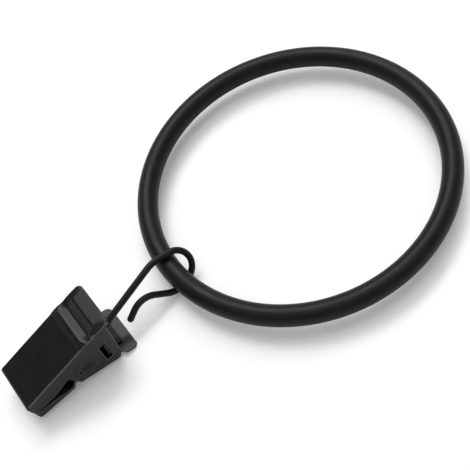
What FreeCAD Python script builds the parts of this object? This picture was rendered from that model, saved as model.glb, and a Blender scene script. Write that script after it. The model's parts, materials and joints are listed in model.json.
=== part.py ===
import FreeCAD, Part
import math
import os

# Lengths in mm, angles in degrees. The ring lies in the XY plane with its centre at the origin.
# The clip lies beside it on the -X side, as the object comes to rest on a table.

# Ring
ring_inside_d = 51.0
ring_bar_d = 3.8

# Hook of round wire
wire_d = 1.2
seat_gap = 0.2           # free space between wire and ring where the hook passes over it
hook_heading = 13.5      # stem direction seen from above
hook_rise = 8.0          # stem climbs towards the ring
hook_roll = 55.0         # turn of the hook's plane about its stem
mouth_gap = 1.9          # from the hook's free end to the clip's mouth
head_d = 2.3
head_t = 0.8

# Bends of the hook from stem to free end: along the stem, across it, bend radius.
# They are counted in seat radii from the middle of the ring's bar.
knee = (-0.42, -1.49, 2.6)
nose = (2.67, -0.10, 1.1)
heel = (-0.36, 1.745, 1.81)
throat = (-2.58, -0.72, 1.6)
tail = (-4.07, -0.33, 0.0)

# Clip, measured from its pivot: x towards the handles, z towards the front plate
sheet_t = 0.6
clip_w = 9.8
jaw_reach = 11.6         # pivot to tip
thumb_reach = 8.6        # pivot to the end of the front handle
finger_reach = 8.15      # pivot to the end of the rear handle
clip_rise = 10.3         # the clip lies on its rear handle end and leans up to the hook
grip_z = 0.6             # height of the plane where the jaws meet
bite_gap = 0.08          # space left between the closed jaws
side_gap = 0.08          # between the front cheeks and the rear ears
pivot_r = 1.45
pivot_gap = 0.08
tab_gap = 0.3            # slit left round each half-moon tab
tab_lean = -12.0         # direction of the half-moon's straight side
fold_r = 0.3             # rounding along the folds
tip_r = 0.4              # bends at the jaw tips

# Front plate, outer face: straight from the tip, then two grip waves across the handle.
# Each bend is its place, its height and its bend radius.
front_tip_z = 3.87
front_end_z = 6.2
front_corner_r = 0.9
wave_root = (1.5, 5.6, 1.2)
wave_crest = (2.8, 6.15, 0.9)
wave_valley = (4.3, 5.42, 0.75)
wave_top = (6.2, 6.5, 0.5)
run_out = 1.7            # the waves run out low over this width at each side
run_out_low = 0.05       # height left at the very edge

# Front cheek, outline below the plate
cheek_throat = (-6.6, 0.9)
cheek_top = (-3.3, 1.95)
cheek_low_x = -2.75
cheek_heel_x = 4.7
cheek_end_low = (5.72, -2.75)
cheek_end_x = 7.7
cheek_r = 0.6
window = ((3.88, 2.36), (5.22, 2.33), (4.3, -2.0), (3.0, -2.0))
window_r = 0.25

# Rear plate, outer face
rear_tip_z = -0.97
rear_bend = (-2.55, -1.53)
rear_bend_r = 3.0
rear_end_z = -5.45
rear_corner_r = 1.0
waist_start = -4.1       # the rear plate is narrow from here
waist_end = 5.9          # to here, so that it passes between the cheeks
waist_run = 0.5
lip_mid = (-7.2, 0.0)
ear_r = 2.5

# Spring strip
strip_t = 0.4
strip_w = 5.6
strip_gap = 0.1
strip_bend_r = 0.8
back_top_z = 3.2
back_low_z = -2.5
leg_front_x = 7.2
leg_rear_x = 6.6
lug_half = 1.5
stem_gap = 0.2           # round the stem in the strip's slot
stem_shift = 1.1         # the stem stands this far to one side in the slot
head_gap = 0.45          # between the stem's head and the strip

# Sizes that follow
bar_r = ring_bar_d / 2
ring_r = ring_inside_d / 2 + bar_r
wire_r = wire_d / 2
seat_r = bar_r + wire_r + seat_gap
half_w = clip_w / 2
cheek_in = half_w - sheet_t
ear_out = cheek_in - side_gap
ear_in = ear_out - sheet_t
tab_push = side_gap + sheet_t  # each half-moon tab reaches through the ear's hole
half_t = sheet_t / 2
front_bends = (wave_root, wave_crest, wave_valley, wave_top)
front_line = [(-jaw_reach, front_tip_z)] + [b[:2] for b in front_bends] + [(thumb_reach, front_end_z)]
handle_slope = (front_end_z - wave_root[1]) / (thumb_reach - wave_root[0])
rear_slope = (rear_bend[1] - rear_tip_z) / (rear_bend[0] + jaw_reach)
finger_slope = (rear_end_z - rear_bend[1]) / (finger_reach - rear_bend[0])


def vec(x, y, z):
    return FreeCAD.Vector(x, y, z)


def rounded(points, closed):
    # points are (x, z, radius); straight stretches with tangent arcs at the corners, in the XZ plane
    pts = [vec(p[0], 0, p[1]) for p in points]
    count = len(pts)
    entries = []
    for i in range(count):
        radius = points[i][2]
        if radius <= 0 or (not closed and i in (0, count - 1)):
            entries.append((pts[i], pts[i], None))
            continue
        before = (pts[i - 1] - pts[i]).normalize()
        after = (pts[(i + 1) % count] - pts[i]).normalize()
        half = before.getAngle(after) / 2
        run = radius / math.tan(half)
        middle = (before + after).normalize()
        apex = pts[i] + middle * (radius / math.sin(half) - radius)
        entries.append((pts[i] + before * run, pts[i] + after * run, apex))
    edges = []
    for i, (start, stop, apex) in enumerate(entries):
        if apex is not None:
            edges.append(Part.Arc(start, apex, stop).toShape())
        if i < count - 1 or closed:
            onward = entries[(i + 1) % count][0]
            if (onward - stop).Length > Part.Precision.confusion():
                edges.append(Part.LineSegment(stop, onward).toShape())
    return Part.Wire(edges)


def slab(points, y_low, y_high):
    # closed outline in XZ carried from y_low to y_high
    face = Part.Face(rounded(points, True))
    face.translate(vec(0, y_low, 0))
    return face.extrude(vec(0, y_high - y_low, 0))


def plan(points, z_low, z_high):
    # closed outline in XY carried from z_low to z_high
    face = Part.Face(rounded(points, True))
    face.rotate(vec(0, 0, 0), vec(1, 0, 0), -90)
    face.translate(vec(0, 0, z_low))
    return face.extrude(vec(0, 0, z_high - z_low))


def both_sides(shape):
    return shape.fuse(shape.mirror(vec(0, 0, 0), vec(0, 1, 0)))


def front_z(x):
    # height of the front plate's outer face, bend to bend
    for (x_low, z_low), (x_high, z_high) in zip(front_line, front_line[1:]):
        if x <= x_high:
            break
    return z_low + (z_high - z_low) * (x - x_low) / (x_high - x_low)


def rear_z(x):
    if x < rear_bend[0]:
        return rear_tip_z + rear_slope * (x + jaw_reach)
    return rear_bend[1] + finger_slope * (x - rear_bend[0])


def strip(points, thick, y_low, y_high):
    # a band of even thickness along a path in XZ
    spine = rounded(points, False)
    start = spine.Edges[0]
    along = start.tangentAt(start.FirstParameter)
    across = vec(-along.z, 0, along.x) * (thick / 2)
    first = vec(points[0][0], 0, points[0][1])
    line = Part.LineSegment(first - across, first + across).toShape()
    face = spine.makePipeShell([Part.Wire([line])], False, False)
    face.translate(vec(0, y_low, 0))
    lengths = face.extrude(vec(0, y_high - y_low, 0)).Solids
    band = lengths[0]
    for length in lengths[1:]:
        band = band.fuse(length)
    return band.removeSplitter()


def make_ring():
    return Part.makeTorus(ring_r, bar_r)


def make_front_jaw():
    tip = -jaw_reach
    lip_z = grip_z + bite_gap / 2
    path = [(tip + half_t, lip_z, 0), (tip + half_t, front_tip_z - half_t, tip_r)]
    path += [(x, z - half_t, r) for x, z, r in front_bends]
    path += [(thumb_reach, front_end_z - half_t, 0)]
    plate = strip(path, sheet_t, -half_w, half_w)
    edge = [
        (tip, -half_w, 0), (thumb_reach, -half_w, front_corner_r),
        (thumb_reach, half_w, front_corner_r), (tip, half_w, 0),
    ]
    plate = plate.common(plan(edge, -clip_w, clip_w))

    # the cheek grows out of the plate's thickness
    root = half_t + fold_r / 4
    top = [(x, z - root, 0) for x, z, r in reversed(front_bends)]
    cheek = slab([
        (tip + root, front_tip_z - root, 0), (tip + root, lip_z, 0),
        (*cheek_throat, cheek_r), (*cheek_top, cheek_r),
        (cheek_low_x, rear_z(cheek_low_x), cheek_r), (cheek_heel_x, rear_z(cheek_heel_x), cheek_r),
        (*cheek_end_low, cheek_r), (cheek_end_x, front_z(cheek_end_x) - root, 0), *top,
    ], cheek_in, half_w)
    cheek = cheek.cut(slab([(x, z, window_r) for x, z in window], cheek_in - sheet_t, half_w + sheet_t))

    # half-moon pivot tab: its straight side stays on the cheek, its round edge is pushed in
    axis = vec(0, 1, 0)
    disc = Part.makeCylinder(pivot_r, clip_w, vec(0, 0, 0), axis)
    hole = Part.makeCylinder(pivot_r + tab_gap, clip_w, vec(0, 0, 0), axis)
    upper = Part.makeBox(clip_w, clip_w, clip_w, vec(-half_w, 0, 0))
    upper.rotate(vec(0, 0, 0), axis, -tab_lean)
    reach = pivot_r + sheet_t
    push = tab_push * reach / pivot_r
    corners = [
        vec(0, cheek_in, 0), vec(0, half_w, 0),
        vec(0, half_w - push, reach), vec(0, cheek_in - push, reach),
    ]
    ramp = Part.Face(Part.makePolygon(corners + corners[:1])).extrude(vec(clip_w, 0, 0))
    ramp.translate(vec(-half_w, 0, 0))
    ramp.rotate(vec(0, 0, 0), axis, -tab_lean)
    cheek = cheek.cut(hole.common(upper)).fuse(ramp.common(disc))

    body = plate.fuse(both_sides(cheek)).removeSplitter()
    # round the folds on both sides, along the whole outer face
    folds = []
    for e in body.Edges:
        middle = e.CenterOfMass
        along_side = e.BoundBox.YLength < side_gap and abs(abs(middle.y) - half_w) < side_gap
        if along_side and e.BoundBox.XLength > sheet_t and middle.z > front_z(middle.x) - half_t:
            folds.append(e)
    body = body.makeFillet(fold_r, folds)

    # press the ends of the waves down at both sides
    root_x, root_z = wave_root[:2]
    crest = max(z - root_z - handle_slope * (x - root_x) for x, z, r in front_bends)
    drop = (crest - run_out_low) / run_out
    corners = [
        vec(root_x, half_w - run_out, root_z + crest),
        vec(root_x, half_w + sheet_t, root_z + run_out_low - drop * sheet_t),
        vec(root_x, half_w + sheet_t, root_z + clip_w), vec(root_x, half_w - run_out, root_z + clip_w),
    ]
    face = Part.Face(Part.makePolygon(corners + corners[:1]))
    wedge = face.extrude(vec(thumb_reach - root_x, 0, front_end_z - root_z))
    return body.cut(both_sides(wedge)).removeSplitter()


def make_rear_jaw():
    tip = -jaw_reach
    lip_z = grip_z - bite_gap / 2
    inside = tip + sheet_t
    plate = slab([
        (tip, lip_z, 0), (inside, lip_z, 0), (inside, rear_z(inside) + sheet_t, 0),
        (rear_bend[0], rear_bend[1] + sheet_t, rear_bend_r - sheet_t),
        (finger_reach, rear_end_z + sheet_t, 0), (finger_reach, rear_end_z, 0),
        (*rear_bend, rear_bend_r), (tip, rear_tip_z, tip_r),
    ], -half_w, half_w)
    side = [
        (tip, half_w, 0), (waist_start, half_w, 0), (waist_start + waist_run, ear_out, 0),
        (waist_end - waist_run, ear_out, 0), (waist_end, half_w, 0), (finger_reach, half_w, rear_corner_r),
    ]
    edge = side + [(x, -y, r) for x, y, r in reversed(side)]
    plate = plate.common(plan(edge, -clip_w, clip_w))

    lip = slab([
        (tip, rear_tip_z + tip_r, 0), (tip + tip_r, rear_z(tip + tip_r) + half_t, 0),
        (waist_start, rear_z(waist_start) + half_t, 0), (*lip_mid, 0), (tip, lip_z, 0),
    ], cheek_in, half_w)
    low = rear_bend[1] + half_t
    ear = slab([
        (-ear_r, low, 0), (-ear_r, pivot_r, pivot_r), (ear_r, pivot_r, pivot_r),
        (ear_r, rear_z(ear_r) + half_t, 0), (rear_bend[0] + sheet_t, low, 0),
    ], ear_in, ear_out)
    ear = ear.cut(Part.makeCylinder(pivot_r + pivot_gap, clip_w, vec(0, 0, 0), vec(0, 1, 0)))
    return plate.fuse(both_sides(lip)).fuse(both_sides(ear)).removeSplitter()


def back_x(z):
    # the strip's back stands against the handle side of the window and leans with it
    (x_top, z_top), (x_low, z_low) = window[1], window[2]
    lean = (x_top - x_low) / (z_top - z_low)
    return x_low + lean * (z - z_low) - strip_gap - strip_t / 2


def make_spring():
    clear = strip_t / 2 + strip_gap
    front_leg_z = front_z(leg_front_x) - sheet_t - clear
    rear_leg_z = rear_z(leg_rear_x) + sheet_t + clear
    path = [
        (leg_front_x, front_leg_z, 0), (back_x(back_top_z), back_top_z, strip_bend_r),
        (back_x(back_low_z), back_low_z, strip_bend_r), (leg_rear_x, rear_leg_z, 0),
    ]
    band = strip(path, strip_t, -strip_w / 2, strip_w / 2)
    lug_path = [(back_x(lug_half), lug_half, 0), (back_x(-lug_half), -lug_half, 0)]
    lug = strip(lug_path, strip_t, half_t - half_w, half_w - half_t)
    slot_r = wire_r + stem_gap
    start_x = back_x(0) - strip_t * 2
    slot = Part.makeBox(strip_t * 4, stem_shift * 2, slot_r * 2, vec(start_x, -stem_shift, -slot_r))
    for y in (-stem_shift, stem_shift):
        slot = slot.fuse(Part.makeCylinder(slot_r, strip_t * 4, vec(start_x, y, 0), vec(1, 0, 0)))
    return band.fuse(lug).removeSplitter().cut(slot.removeSplitter())


def hook_point(corner):
    # drawn with the stem along x and the loop on the -y side
    return (corner[0] * seat_r, corner[1] * seat_r, corner[2] * seat_r)


def make_hook():
    stem_z = knee[1] * seat_r
    mouth = tail[0] * seat_r - mouth_gap
    in_clip = mouth - (finger_reach - back_x(0)) - strip_t / 2 - head_gap
    path = [(in_clip, stem_z, 0)] + [hook_point(c) for c in (knee, nose, heel, throat, tail)]
    spine = rounded(path, False)
    start = vec(in_clip, 0, stem_z)
    ring_face = Part.Wire([Part.makeCircle(wire_r, start, vec(1, 0, 0))])
    wire = spine.makePipeShell([ring_face], True, True)
    end = hook_point(tail)
    tip = Part.makeSphere(wire_r, vec(end[0], 0, end[1]))
    head = Part.makeCylinder(head_d / 2, head_t, start, vec(-1, 0, 0))
    round_edge = [e for e in head.Edges if e.BoundBox.XLength < wire_r and e.isClosed()]
    head = head.makeChamfer(head_t / 4, round_edge)
    hook = wire.fuse(tip).fuse(head).removeSplitter()
    # the drawing's z runs across the stem; lay it along -y
    hook.rotate(vec(0, 0, 0), vec(1, 0, 0), 90)
    return hook, vec(in_clip, 0, stem_z)


def turn(heading, rise, roll):
    spin = FreeCAD.Rotation(vec(0, 0, 1), heading)
    climb = FreeCAD.Rotation(vec(0, 1, 0), -rise)
    twist = FreeCAD.Rotation(vec(1, 0, 0), roll)
    return spin.multiply(climb).multiply(twist)


os.makedirs("parts", exist_ok=True)

ring = make_ring()
hook, stem_start = make_hook()
hook_place = FreeCAD.Placement(vec(-ring_r, 0, 0), turn(hook_heading, hook_rise, hook_roll))
hook.Placement = hook_place.multiply(hook.Placement)

clip_turn = turn(0, clip_rise, 0)
stem_dir = hook_place.Rotation.multVec(vec(1, 0, 0))
eye = hook_place.multVec(vec(stem_start.x, -stem_start.z, 0)) + stem_dir * (head_gap + strip_t / 2)
clip_place = FreeCAD.Placement(eye - clip_turn.multVec(vec(back_x(0), -stem_shift, 0)), clip_turn)

parts = {"ring": ring, "hook": hook}
clip = {"front_jaw": make_front_jaw(), "rear_jaw": make_rear_jaw(), "spring": make_spring()}
for name, shape in clip.items():
    shape.Placement = clip_place.multiply(shape.Placement)
    parts[name] = shape

for name, shape in parts.items():
    shape.exportStep("parts/" + name + ".step")
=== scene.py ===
import json
import math

import bmesh
import bpy
import numpy as np
from mathutils import Matrix, Vector


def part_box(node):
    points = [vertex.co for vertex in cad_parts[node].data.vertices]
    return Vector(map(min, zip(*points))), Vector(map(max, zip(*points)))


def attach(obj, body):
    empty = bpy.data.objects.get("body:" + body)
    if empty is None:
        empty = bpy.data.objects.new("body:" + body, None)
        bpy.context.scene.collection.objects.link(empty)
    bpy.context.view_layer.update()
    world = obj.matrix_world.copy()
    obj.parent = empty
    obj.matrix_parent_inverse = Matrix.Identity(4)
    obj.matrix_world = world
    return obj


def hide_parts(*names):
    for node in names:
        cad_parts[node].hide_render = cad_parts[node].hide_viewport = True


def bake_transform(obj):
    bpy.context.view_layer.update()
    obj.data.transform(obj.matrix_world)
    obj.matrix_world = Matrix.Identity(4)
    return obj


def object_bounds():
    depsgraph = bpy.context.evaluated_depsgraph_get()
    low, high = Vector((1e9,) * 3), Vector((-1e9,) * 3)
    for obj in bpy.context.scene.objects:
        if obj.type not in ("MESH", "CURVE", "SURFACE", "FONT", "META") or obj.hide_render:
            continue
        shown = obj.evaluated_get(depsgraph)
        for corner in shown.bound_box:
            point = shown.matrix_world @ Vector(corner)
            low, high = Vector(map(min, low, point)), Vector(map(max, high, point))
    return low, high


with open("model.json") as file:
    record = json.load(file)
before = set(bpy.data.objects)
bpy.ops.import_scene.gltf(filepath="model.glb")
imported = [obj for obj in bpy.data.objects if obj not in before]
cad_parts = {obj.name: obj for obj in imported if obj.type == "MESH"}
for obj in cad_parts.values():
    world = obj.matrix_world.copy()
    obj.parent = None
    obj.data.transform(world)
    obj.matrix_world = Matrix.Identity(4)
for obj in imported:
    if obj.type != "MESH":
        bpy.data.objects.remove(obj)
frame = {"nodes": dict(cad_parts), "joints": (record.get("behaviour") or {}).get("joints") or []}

mm = 0.001
sameSpot = 1e-7  # m: points this close are one point
cadBox = [list(corner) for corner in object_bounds()]
floorLevel = cadBox[0][2]
joints = {joint["name"]: joint for joint in frame["joints"]}
print("frame loaded, nodes:", sorted(frame["nodes"]))


def linearColour(code):
    # sRGB hex to linear RGBA
    srgb = np.array([int(code[i:i + 2], 16) for i in (1, 3, 5)]) / 255
    linear = np.where(srgb <= 0.04045, srgb / 12.92, ((srgb + 0.055) / 1.055) ** 2.4)
    return (*linear.tolist(), 1.0)


def addNode(tree, kind, settings, inputs):
    # one node; an input is a plain value or another node's output socket
    node = tree.nodes.new(kind)
    for key, value in settings.items():
        setattr(node, key, value)
    for key, value in inputs.items():
        if isinstance(value, bpy.types.NodeSocket):
            tree.links.new(value, node.inputs[key])
        else:
            node.inputs[key].default_value = value
    return node


def newMaterial(name):
    material = bpy.data.materials.new(name)
    material.use_nodes = True
    material.node_tree.nodes.clear()
    return material, material.node_tree


def newPiece(name, mesh, material):
    piece = bpy.data.objects.new(name, mesh)
    bpy.context.scene.collection.objects.link(piece)
    piece.data.materials.clear()
    piece.data.materials.append(material)
    return piece


def unit(way):
    return way / np.linalg.norm(way)


def gridMesh(name, points, closedRows):
    # points[i, j]: rows i run along the piece, columns j run round it and always close
    rows, columns = points.shape[:2]
    index = np.arange(rows * columns).reshape(rows, columns)
    ahead = np.roll(index, -1, axis=0) if closedRows else index[1:]
    behind = index if closedRows else index[:-1]
    corners = [behind, np.roll(behind, -1, axis=1), np.roll(ahead, -1, axis=1), ahead]
    quads = np.stack(corners, axis=-1).reshape(-1, 4)
    mesh = bpy.data.meshes.new(name)
    mesh.from_pydata(points.reshape(-1, 3).tolist(), [], quads.tolist())
    if not closedRows:  # the end rows are single points: merge them into poles
        work = bmesh.new()
        work.from_mesh(mesh)
        bmesh.ops.remove_doubles(work, verts=work.verts, dist=sameSpot)
        work.to_mesh(mesh)
        work.free()
    mesh.polygons.foreach_set("use_smooth", np.ones(len(mesh.polygons), bool))
    mesh.update()
    return mesh


# Powder-coated steel rod: black polyester baked on, satin, with a faint orange peel that breaks up
# the sheen. Stove-enamelled sheet and wire have a thinner, smoother black. The paler edge colour on
# the sheet and the spring is a painted highlight along broken edges and folds, partly thin worn enamel.
# Blackened spring steel is duller, and its darker colour is partly painted shade for the dim inside of
# the clip. Cloud and peel are pattern widths in mm.
coats = {
    "powderCoatedRod": {
        "dark": "#131314", "light": "#1a1a1b", "cloud": 3.0, "peel": 0.55, "peelDepth": 0.003,
        "roughLow": 0.38, "roughHigh": 0.46, "specular": 0.16,
    },
    "enamelledWire": {
        "dark": "#141415", "light": "#1a1a1b", "cloud": 1.6, "peel": 0.3, "peelDepth": 0.0015,
        "roughLow": 0.32, "roughHigh": 0.4, "specular": 0.18,
    },
    "enamelledSheet": {
        "dark": "#141417", "light": "#1b1b1f", "cloud": 2.4, "peel": 0.4, "peelDepth": 0.0008,
        "roughLow": 0.27, "roughHigh": 0.33, "specular": 0.19, "edge": "#58585c",
    },
    # darker than the sheet: blackened steel, and partly painted shade for the dim window in the clip
    "blackenedSpringSteel": {
        "dark": "#0e0e10", "light": "#17171a", "cloud": 1.2, "peel": 0.25, "peelDepth": 0.001,
        "roughLow": 0.34, "roughHigh": 0.44, "specular": 0.12, "edge": "#38383b",
    },
}
coatNoise = {
    "cloudDetail": 1.0, "cloudRough": 0.4,  # more detail shows as dark specks
    "cloudLow": 0.3, "cloudHigh": 0.7,  # the part of the noise that the roughness follows
    "peelDetail": 2.0, "peelRough": 0.5,
}
mixA, mixB, mixOut = 6, 7, 2  # colour sockets of a Mix node, whose names repeat


def makeCoat(name):
    look = coats[name]
    material, tree = newMaterial(name)
    place = addNode(tree, "ShaderNodeTexCoord", {}, {}).outputs["Object"]
    cloud = addNode(tree, "ShaderNodeTexNoise", {}, {
        "Vector": place, "Scale": 1 / (look["cloud"] * mm),
        "Detail": coatNoise["cloudDetail"], "Roughness": coatNoise["cloudRough"]})
    peel = addNode(tree, "ShaderNodeTexNoise", {}, {
        "Vector": place, "Scale": 1 / (look["peel"] * mm),
        "Detail": coatNoise["peelDetail"], "Roughness": coatNoise["peelRough"]})
    tone = addNode(tree, "ShaderNodeMix", {"data_type": "RGBA"}, {
        "Factor": cloud.outputs["Fac"],
        mixA: linearColour(look["dark"]), mixB: linearColour(look["light"])})
    # the paler edge colour is a painted highlight along broken edges and folds, partly worn enamel
    if "edge" in look:  # stamped pieces mark their broken edges and folds
        edge = addNode(tree, "ShaderNodeAttribute", {"attribute_name": "edge"}, {})
        tone = addNode(tree, "ShaderNodeMix", {"data_type": "RGBA"}, {
            "Factor": edge.outputs["Fac"], mixA: tone.outputs[mixOut], mixB: linearColour(look["edge"])})
    rough = addNode(tree, "ShaderNodeMapRange", {}, {
        "Value": cloud.outputs["Fac"],
        "From Min": coatNoise["cloudLow"], "From Max": coatNoise["cloudHigh"],
        "To Min": look["roughLow"], "To Max": look["roughHigh"]})
    bump = addNode(tree, "ShaderNodeBump", {}, {
        "Height": peel.outputs["Fac"], "Distance": look["peelDepth"] * mm, "Strength": 1.0})
    shader = addNode(tree, "ShaderNodeBsdfPrincipled", {}, {
        "Base Color": tone.outputs[mixOut], "Roughness": rough.outputs["Result"],
        "Specular IOR Level": look["specular"], "Normal": bump.outputs["Normal"]})
    addNode(tree, "ShaderNodeOutputMaterial", {}, {"Surface": shader.outputs["BSDF"]})
    return material


materials = {name: makeCoat(name) for name in coats}
print("materials made:", len(materials))


# Ring: a torus, p(u, v) = ((R + r cos v) cos u, (R + r cos v) sin u, r sin v)
ring = {"along": 360, "round": 64}


def makeRing():
    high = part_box("ring")[1]
    barRadius = high.z
    ringRadius = high.x - barRadius
    u = np.linspace(0, 2 * math.pi, ring["along"], endpoint=False)[:, None]
    v = np.linspace(0, 2 * math.pi, ring["round"], endpoint=False)[None, :]
    reach = ringRadius + barRadius * np.cos(v)
    points = np.stack(np.broadcast_arrays(
        reach * np.cos(u), reach * np.sin(u), barRadius * np.sin(v)), axis=-1)
    piece = newPiece("curtain_ring", gridMesh("curtain_ring", points, True), materials["powderCoatedRod"])
    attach(piece, "ring")
    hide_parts("ring")
    return piece


# Hook: a round section carried along a bent wire. Bends are along the stem, across it and the bend radius,
# counted in seat radii from the middle of the ring's bar, as the wire is bent round it.
hook = {
    "wire": 1.2, "seat": 2.7, "kneeAlong": -0.42, "kneeBend": 2.6,
    "bends": [(2.67, -0.10, 1.1), (-0.36, 1.745, 1.81), (-2.58, -0.72, 1.6), (-4.07, -0.33, 0.0)],
    "headWide": 2.3, "headLong": 0.8, "headRound": 0.2, "headFromEye": 0.65,
    "neckWide": 1.25, "neckLong": 0.25,  # in wire radii
    "neckSteps": 4,  # the wire starts this many steps up the stem, past the neck
    "step": 0.12, "round": 40, "rimSteps": 7, "tipSteps": 10, "runSteps": 2, "bendSteps": 4,
}


def bentPath(corners, radii, step):
    # straight runs joined by tangent arcs; returns points and directions at even steps
    points, headings = [], []
    here = corners[0]
    for i in range(1, len(corners)):
        goal = corners[i]
        along = unit(goal - here)
        if i < len(corners) - 1:
            onward = unit(corners[i + 1] - goal)
            turn = math.acos(along @ onward)
            cut = radii[i] * math.tan(turn / 2)
        else:
            onward, turn, cut = along, 0.0, 0.0
        runEnd = goal - along * cut
        steps = max(hook["runSteps"], int(np.linalg.norm(runEnd - here) / step))
        s = np.linspace(0, 1, steps, endpoint=False)[:, None]
        points.append(here + s * (runEnd - here))
        headings.append(np.repeat(along[None], len(s), axis=0))
        if turn:
            side = unit(onward - along * (along @ onward))
            steps = max(hook["bendSteps"], int(radii[i] * turn / step))
            a = np.linspace(0, turn, steps, endpoint=False)[:, None]
            points.append(runEnd + radii[i] * (np.sin(a) * along + (1 - np.cos(a)) * side))
            headings.append(np.cos(a) * along + np.sin(a) * side)
        here = goal + onward * cut
    points.append(here[None])
    headings.append(along[None])
    return np.concatenate(points), np.concatenate(headings)


def headProfile(wire):
    # distance up the stem and radius, from the head's flat end: pole, two rounded rims, neck
    head = hook["headWide"] * mm / 2
    long = hook["headLong"] * mm
    soft = hook["headRound"] * mm
    quarter = np.linspace(0, math.pi / 2, hook["rimSteps"])
    drop, radius = soft * (1 - np.sin(quarter)), head - soft * (1 - np.cos(quarter))
    outer = np.stack([-long + drop, radius], -1)[::-1]
    inner = np.stack([-drop, radius], -1)
    neck = [[0.0, wire * hook["neckWide"]], [wire * hook["neckLong"], wire]]
    return np.concatenate([[[-long, 0.0]], outer, inner, neck])


def makeHook():
    bar = np.array(joints["hook_swing"]["pos_m"])
    eye = np.array(joints["clip_swivel"]["pos_m"])
    stem = unit(np.array(joints["clip_swivel"]["axis"]))
    aside = (eye - bar) - ((eye - bar) @ stem) * stem
    across = -unit(aside)
    normal = np.cross(stem, across)
    seat = hook["seat"] * mm
    foot = eye - stem * hook["headFromEye"] * mm
    knee = bar + aside + stem * hook["kneeAlong"] * seat
    bends = np.array(hook["bends"])
    corners = [foot, knee, *(bar + (bends[:, :1] * stem + bends[:, 1:2] * across) * seat)]
    radii = [0.0, hook["kneeBend"] * seat, *(bends[:, 2] * seat)]
    path, heading = bentPath(corners, radii, hook["step"] * mm)
    path, heading = path[hook["neckSteps"]:], heading[hook["neckSteps"]:]

    wire = hook["wire"] * mm / 2
    profile = headProfile(wire)
    tipTurn = np.linspace(0, math.pi / 2, hook["tipSteps"])[1:, None]  # the tail ends in a half ball
    tipPath = path[-1] + wire * np.sin(tipTurn) * heading[-1]
    centres = np.concatenate([foot + profile[:, :1] * stem, path, tipPath])
    directions = np.concatenate([
        np.repeat(stem[None], len(profile), 0), heading, np.repeat(heading[-1:], len(tipPath), 0)])
    radius = np.concatenate([profile[:, 1], np.full(len(path), wire), wire * np.cos(tipTurn[:, 0])])
    inPlane = np.cross(normal, directions)
    v = np.linspace(0, 2 * math.pi, hook["round"], endpoint=False)[None, :, None]
    # p(s, v) = centre(s) + radius(s) (cos v inPlane(s) + sin v normal)
    ringOut = np.cos(v) * inPlane[:, None, :] + np.sin(v) * normal
    points = centres[:, None, :] + radius[:, None, None] * ringOut
    piece = newPiece("wire_hook", gridMesh("wire_hook", points, False), materials["enamelledWire"])
    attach(piece, "hook")
    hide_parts("hook")
    return piece


# Stamped pieces: the CAD sheet with its sheared edges broken, as tumbling leaves them
stamped = {
    "front_jaw": {"piece": "front_jaw_sheet", "coat": "enamelledSheet", "slot": "black_coat"},
    "rear_jaw": {"piece": "rear_jaw_sheet", "coat": "enamelledSheet", "slot": "black_coat"},
    "spring": {"piece": "spring_strip", "coat": "blackenedSpringSteel", "slot": "spring_steel"},
}
sheared = {
    "edgeRound": 0.1, "segments": 2, "profile": 0.5,
    "sharp": 32.0, "flat": 0.4, "smooth": 22.0,  # degrees between two faces
    "weld": 0.001,
}

# Front jaw's grip waves, in mm along and up from the pivot: the valley between the two crests runs out
# at both sides of the sheet, up to a rim line from the first bend to the end of the thumb handle
waves = {
    "rimFrom": (1.5, 5.65), "rimTo": (8.6, 6.25), "runOut": 1.7, "cuts": 6, "skin": 0.45,
    "facing": 0.3, "before": 1.0, "onLine": 0.001,  # which points give the plate's own height
}
# Folds between plate and cheeks, painted paler: a painted highlight along the bend, partly thin enamel
folds = {"band": 0.32, "leanLow": 0.3, "leanHigh": 0.97, "above": 2.6}
# Spring: the strip is cut across below its side lugs, at these heights in mm up the clip from the pivot,
# where the real strip bends with the rear jaw so that its rear leg keeps to the finger handle
springBend = {"from": -1.6, "to": -2.8, "cuts": 6}
clipRise = 10.3  # degrees that the clip leans up to the hook


def clipFrame():
    # the clip's pivot, the way to its handles and the way to its front plate
    rise = math.radians(clipRise)
    ahead = np.array([math.cos(rise), 0, math.sin(rise)])
    upward = np.array([-math.sin(rise), 0, math.cos(rise)])
    return np.array(joints["jaw_open"]["pos_m"]), ahead, upward


def jawSides():
    # the front jaw's middle and half its width
    low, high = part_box("front_jaw")
    return (low.y + high.y) / 2, (high.y - low.y) / 2


def cutAcross(work, point, way):
    # a line of new points where a plane crosses the mesh
    whole = work.verts[:] + work.edges[:] + work.faces[:]
    bmesh.ops.bisect_plane(work, geom=whole, dist=sameSpot, plane_co=point, plane_no=way)


def runOutWaves(work):
    # lift(x, y) = (rim(x) - plate(x)) s(t), where t goes from 0 where the waves are full
    # to 1 at the side, and s is a smooth step
    middle, half = jawSides()
    start = half - waves["runOut"] * mm
    for step in np.linspace(start, half, waves["cuts"], endpoint=False):
        for y in (middle - step, middle + step):
            cutAcross(work, (0, y, 0), (0, 1, 0))
    work.normal_update()
    pivot, ahead, upward = clipFrame()
    spots = np.array([vertex.co[:] for vertex in work.verts])
    facing = np.array([vertex.normal[:] for vertex in work.verts]) @ upward
    along, height = (spots - pivot) @ ahead / mm, (spots - pivot) @ upward / mm
    out = (np.abs(spots[:, 1] - middle) - start) / (half - start)
    first, last = waves["rimFrom"][0], waves["rimTo"][0]
    plate = (np.abs(out) < waves["onLine"]) & (facing > waves["facing"]) & (along > first - waves["before"])
    order = np.argsort(along[plate])
    top = np.interp(along, along[plate][order], height[plate][order])
    rim = np.interp(along, *zip(waves["rimFrom"], waves["rimTo"]))
    t = np.clip(out, 0, 1)
    lift = np.maximum(rim - top, 0) * t * t * (3 - 2 * t)
    lift[(height < top - waves["skin"]) | (along < first) | (along > last)] = 0
    for vertex, move in zip(work.verts, lift[:, None] * upward * mm):
        vertex.co += Vector(move)
    work.normal_update()


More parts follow.
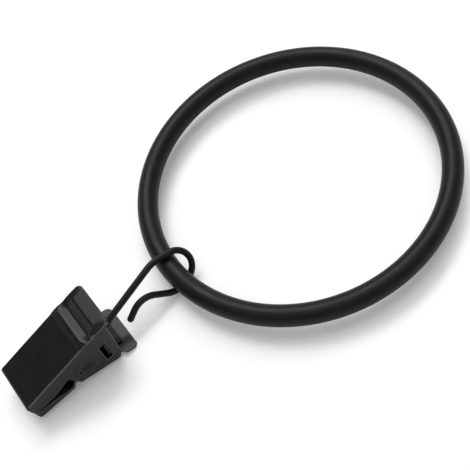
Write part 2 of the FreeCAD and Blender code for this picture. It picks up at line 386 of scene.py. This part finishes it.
def markFolds(work, layer):
    middle, half = jawSides()
    tabs = joints["jaw_open"]["pos_m"][2] + folds["above"] * mm  # the half-moon tabs lie below this height
    # fold faces get the paler edge colour, a painted highlight along the bend
    for face in work.faces:
        spot = face.calc_center_median()
        outside = abs(spot.y - middle) > half - folds["band"] * mm and spot.z > tabs
        if outside and folds["leanLow"] < abs(face.normal.y) < folds["leanHigh"]:
            face[layer] = 1.0


def breakEdges(work, layer):
    limit = math.radians(sheared["sharp"])
    edges = [edge for edge in work.edges
             if len(edge.link_faces) == 2 and edge.is_convex and edge.calc_face_angle(0) > limit]
    made = bmesh.ops.bevel(work, geom=edges, offset=sheared["edgeRound"] * mm, offset_type="OFFSET",
                           segments=sheared["segments"], profile=sheared["profile"], affect="EDGES",
                           clamp_overlap=False)
    # the new rounded faces get the paler edge colour, a painted highlight, partly worn enamel
    for face in made["faces"]:
        face[layer] = 1.0
    bmesh.ops.triangulate(work, faces=work.faces)
    for face in work.faces:
        face.smooth = True
    for edge in work.edges:  # a rounded edge is shaded apart from the flat face beside it
        alike = len({face[layer] for face in edge.link_faces}) == 1
        edge.smooth = alike and edge.calc_face_angle(0) < math.radians(sheared["smooth"])


def makeStamped(node):
    look = stamped[node]
    pivot, _, upward = clipFrame()
    mesh = frame["nodes"][node].data.copy()
    mesh.name = look["piece"]
    work = bmesh.new()
    work.from_mesh(mesh)
    bmesh.ops.remove_doubles(work, verts=work.verts, dist=sheared["weld"] * mm)
    flat = math.radians(sheared["flat"])
    bmesh.ops.dissolve_limit(work, angle_limit=flat, verts=work.verts, edges=work.edges)
    layer = work.faces.layers.float.new("edge")
    if node == "front_jaw":
        runOutWaves(work)
        markFolds(work, layer)
    if node == "spring":
        for height in np.linspace(springBend["from"], springBend["to"], springBend["cuts"]):
            cutAcross(work, pivot + upward * height * mm, upward)
    breakEdges(work, layer)
    work.to_mesh(mesh)
    work.free()
    piece = newPiece(look["piece"], mesh, materials[look["coat"]])
    even = piece.modifiers.new("even_faces", "WEIGHTED_NORMAL")  # keeps flat faces flat beside round edges
    even.keep_sharp = True
    if node == "spring":
        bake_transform(piece)
    else:
        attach(piece, node)
    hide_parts(node)
    return piece


pieces = [makeRing(), makeHook()] + [makeStamped(node) for node in stamped]
print("pieces made:", len(pieces))


# Floor: a wide pale sheet of matt paper that stays white to the eye and keeps the shadow
floor = {"reach": 3.0, "colour": "#f6f6f6", "glow": 0.14}
white = linearColour("#ffffff")


def makeFloor():
    r = floor["reach"]
    corners = [(x, y, floorLevel) for x, y in ((-r, -r), (r, -r), (r, r), (-r, r))]
    mesh = bpy.data.meshes.new("floor")
    mesh.from_pydata(corners, [], [(0, 1, 2, 3)])
    material, tree = newMaterial("matt_white_paper")
    light = addNode(tree, "ShaderNodeLightPath", {}, {})
    seen = addNode(tree, "ShaderNodeMath", {"operation": "MAXIMUM"}, {
        0: light.outputs["Is Camera Ray"], 1: light.outputs["Is Glossy Ray"]})
    seen = addNode(tree, "ShaderNodeMath", {"operation": "MAXIMUM"}, {
        0: seen.outputs[0], 1: light.outputs["Is Transmission Ray"]})
    lift = addNode(tree, "ShaderNodeMath", {"operation": "MULTIPLY"}, {
        0: seen.outputs[0], 1: floor["glow"]})
    paper = addNode(tree, "ShaderNodeBsdfDiffuse", {}, {"Color": linearColour(floor["colour"])})
    glow = addNode(tree, "ShaderNodeEmission", {}, {"Color": white, "Strength": lift.outputs[0]})
    both = addNode(tree, "ShaderNodeAddShader", {}, {0: paper.outputs[0], 1: glow.outputs[0]})
    addNode(tree, "ShaderNodeOutputMaterial", {}, {"Surface": both.outputs[0]})
    newPiece("floor", mesh, material)


# Light: a long lamp behind the object, made of three side by side, whose sheen lies on top of the bars and
# on the grip waves; a wide lamp high up; and a dim room with a white horizon and a pale ceiling
studio = {
    "lamps": [  # way to the lamp, degrees wide, power
        ((0.07, 0.54, 0.84), 20.0, 0.75), ((0.33, 0.54, 0.77), 20.0, 0.34),
        ((0.55, 0.54, 0.64), 20.0, 0.42), ((0.22, 0.24, 0.95), 40.0, 0.6),
    ],
    "horizon": 1.0, "horizonFrom": 0.08, "horizonTo": 0.38,  # height of a direction, 1 is straight up
    "room": 0.14, "ceiling": 0.7, "ceilingFrom": 0.42, "ceilingTo": 0.95,
}


def makeLight():
    for number, (way, wide, power) in enumerate(studio["lamps"], 1):
        lamp = bpy.data.lights.new(f"lamp_{number}", "SUN")
        lamp.energy = power
        lamp.angle = math.radians(wide)
        holder = bpy.data.objects.new(lamp.name, lamp)
        holder.rotation_euler = Vector(way).to_track_quat("Z", "Y").to_euler()
        bpy.context.scene.collection.objects.link(holder)
    world = bpy.data.worlds.new("studio_room")
    world.use_nodes = True
    tree = world.node_tree
    tree.nodes.clear()
    way = addNode(tree, "ShaderNodeTexCoord", {}, {})
    height = addNode(tree, "ShaderNodeSeparateXYZ", {}, {"Vector": way.outputs["Generated"]})
    walls = addNode(tree, "ShaderNodeMapRange", {"interpolation_type": "SMOOTHSTEP"}, {
        "Value": height.outputs["Z"], "From Min": studio["horizonFrom"], "From Max": studio["horizonTo"],
        "To Min": studio["horizon"], "To Max": studio["room"]})
    ceiling = addNode(tree, "ShaderNodeMapRange", {"interpolation_type": "SMOOTHSTEP"}, {
        "Value": height.outputs["Z"], "From Min": studio["ceilingFrom"], "From Max": studio["ceilingTo"],
        "To Min": 0.0, "To Max": studio["ceiling"]})
    level = addNode(tree, "ShaderNodeMath", {"operation": "MAXIMUM"}, {
        0: walls.outputs["Result"], 1: ceiling.outputs["Result"]})
    room = addNode(tree, "ShaderNodeBackground", {}, {"Color": white, "Strength": level.outputs[0]})
    addNode(tree, "ShaderNodeOutputWorld", {}, {"Surface": room.outputs[0]})
    bpy.context.scene.world = world


# Camera: looks down over the clip to the ring, rolled as the picture was taken; mm and degrees
view = {
    "place": (-39.03, -94.0, 140.53), "heading": 14.58, "dip": 55.94, "roll": -25.55,
    "lens": 74.6, "sensor": 36.0, "nearest": 10.0,
}


def makeCamera():
    data = bpy.data.cameras.new("camera")
    data.lens = view["lens"]
    data.sensor_width = view["sensor"]
    data.clip_start = view["nearest"] * mm
    camera = bpy.data.objects.new("camera", data)
    turn = Matrix.Rotation(math.radians(-view["heading"]), 4, "Z")
    tilt = Matrix.Rotation(math.radians(90 - view["dip"]), 4, "X")
    roll = Matrix.Rotation(math.radians(view["roll"]), 4, "Z")
    camera.matrix_world = Matrix.Translation(Vector(view["place"]) * mm) @ turn @ tilt @ roll
    bpy.context.scene.collection.objects.link(camera)
    bpy.context.scene.camera = camera


makeFloor()
makeLight()
makeCamera()
bpy.context.scene.view_settings.view_transform = "Standard"
print("floor, light and camera set")
